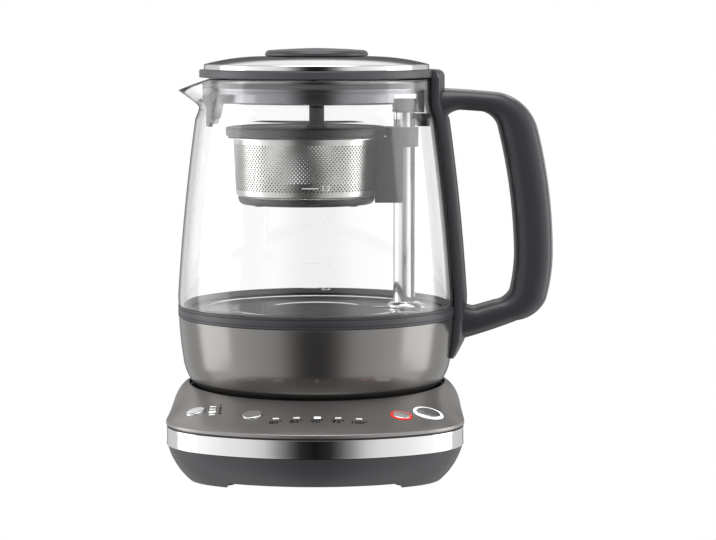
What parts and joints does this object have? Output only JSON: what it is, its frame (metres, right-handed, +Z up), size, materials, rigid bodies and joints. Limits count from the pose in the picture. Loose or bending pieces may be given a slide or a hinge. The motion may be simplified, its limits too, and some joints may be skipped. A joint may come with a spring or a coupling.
{
  "type": "automatic tea maker",
  "caption": "Glass jug tea maker with a steel tea basket that travels on a post, a lift-off lid, a loop handle and a heated power base with push buttons.",
  "frame": {"origin": "centre of the bounding box in plan, on the table under the rubber feet", "axes": "+Z up along the jug's axis, -Y towards the control panel at the front, +X towards the handle"},
  "size_m": [0.2194, 0.205, 0.239],
  "materials": {
    "smoked_steel": "smoked grey steel, softly brushed and clear coated",
    "polished_steel": "polished bright metal",
    "brushed_steel": "fine brushed stainless steel",
    "charcoal_plastic": "charcoal moulded plastic, satin",
    "grey_plastic": "dark grey moulded plastic, satin",
    "black_plastic": "black moulded plastic",
    "clear_glass": "clear borosilicate glass",
    "clear_plastic": "milky clear plastic that glows when lit",
    "red_plastic": "red translucent plastic",
    "silicone": "grey translucent silicone",
    "rubber": "black rubber",
    "circuit_board": "green circuit board",
    "magnet": "plain nickel-plated magnet"
  },
  "bodies": {
    "base": {"base_lower_body": "charcoal_plastic", "chrome_band": "polished_steel", "base_top_cover": "smoked_steel", "jug_seat": "black_plastic", "base_connector": "black_plastic", "foot_front_left": "rubber", "foot_front_right": "rubber", "foot_rear_left": "rubber", "foot_rear_right": "rubber", "base_screw_1": "brushed_steel", "base_screw_2": "brushed_steel", "base_screw_3": "brushed_steel", "base_screw_4": "brushed_steel", "cord_gland": "rubber", "control_board": "circuit_board", "strength_switch": "black_plastic", "temperature_switch": "black_plastic", "keep_warm_switch": "black_plastic", "start_switch": "black_plastic", "keep_warm_light_ring": "red_plastic", "start_light_ring": "clear_plastic", "strength_light_guide": "clear_plastic", "temperature_light_guide": "clear_plastic"},
    "strength_key": {"strength_button": "polished_steel"},
    "temperature_key": {"temperature_button": "polished_steel"},
    "keep_warm_key": {"keep_warm_button": "polished_steel"},
    "start_key": {"start_button": "polished_steel"},
    "jug": {"glass_jug": "clear_glass", "jug_base_cover": "smoked_steel", "jug_seam_ring": "charcoal_plastic", "jug_floor": "brushed_steel", "glass_seal": "silicone", "jug_bottom_cover": "charcoal_plastic", "jug_connector": "black_plastic", "heating_element": "brushed_steel", "temperature_sensor": "black_plastic", "lift_post": "polished_steel", "post_foot": "polished_steel", "post_cap": "grey_plastic", "lift_motor": "brushed_steel", "handle_spine": "charcoal_plastic", "handle_grip": "charcoal_plastic", "handle_grip_cover": "charcoal_plastic", "handle_clamp": "black_plastic"},
    "lid": {"lid_plug": "grey_plastic", "lid_seal": "silicone", "lid_ring": "grey_plastic", "lid_dome": "brushed_steel", "lid_knob": "charcoal_plastic"},
    "basket": {"basket_rim": "grey_plastic", "basket_cup": "brushed_steel", "basket_base": "grey_plastic", "basket_carriage": "grey_plastic", "drive_magnet": "magnet"},
    "basket_lid": {"basket_lid": "grey_plastic", "basket_lid_stem": "black_plastic"},
    "lead_screw": {"lead_screw": "brushed_steel"}
  },
  "joints": [
    {"name": "jug_lift", "type": "slide", "parent": "base", "child": "jug", "axis": [0, 0, 1], "range_m": [0, 0.06]},
    {"name": "lid_lift", "type": "slide", "parent": "jug", "child": "lid", "axis": [0, 0, 1], "range_m": [0, 0.06]},
    {"name": "basket_travel", "type": "slide", "parent": "jug", "child": "basket", "axis": [0, 0, -1], "range_m": [0, 0.05]},
    {"name": "basket_lid_lift", "type": "slide", "parent": "basket", "child": "basket_lid", "axis": [0, 0, 1], "range_m": [0, 0.03]},
    {"name": "lead_screw_spin", "type": "hinge", "parent": "jug", "child": "lead_screw", "pos_m": [0.0239, 0.0195, 0.1], "axis": [0, 0, 1], "range_deg": [0, 1510]},
    {"name": "strength_press", "type": "slide", "parent": "base", "child": "strength_key", "axis": [0, 0.2079, -0.9781], "range_m": [0, 0.001], "stiffness_N_per_m": 800, "springref_m": -0.0002},
    {"name": "temperature_press", "type": "slide", "parent": "base", "child": "temperature_key", "axis": [0, 0.2079, -0.9781], "range_m": [0, 0.001], "stiffness_N_per_m": 800, "springref_m": -0.0002},
    {"name": "keep_warm_press", "type": "slide", "parent": "base", "child": "keep_warm_key", "axis": [0, 0.2079, -0.9781], "range_m": [0, 0.001], "stiffness_N_per_m": 800, "springref_m": -0.0002},
    {"name": "start_press", "type": "slide", "parent": "base", "child": "start_key", "axis": [0, 0.2079, -0.9781], "range_m": [0, 0.001], "stiffness_N_per_m": 800, "springref_m": -0.0002}
  ],
  "couplings": [
    {"joint": "lead_screw_spin", "follows": "basket_travel", "rad_per_m": 523.6},
    {"joint": "basket_lid_lift", "follows": "lid_lift", "ratio": 0.5}
  ]
}
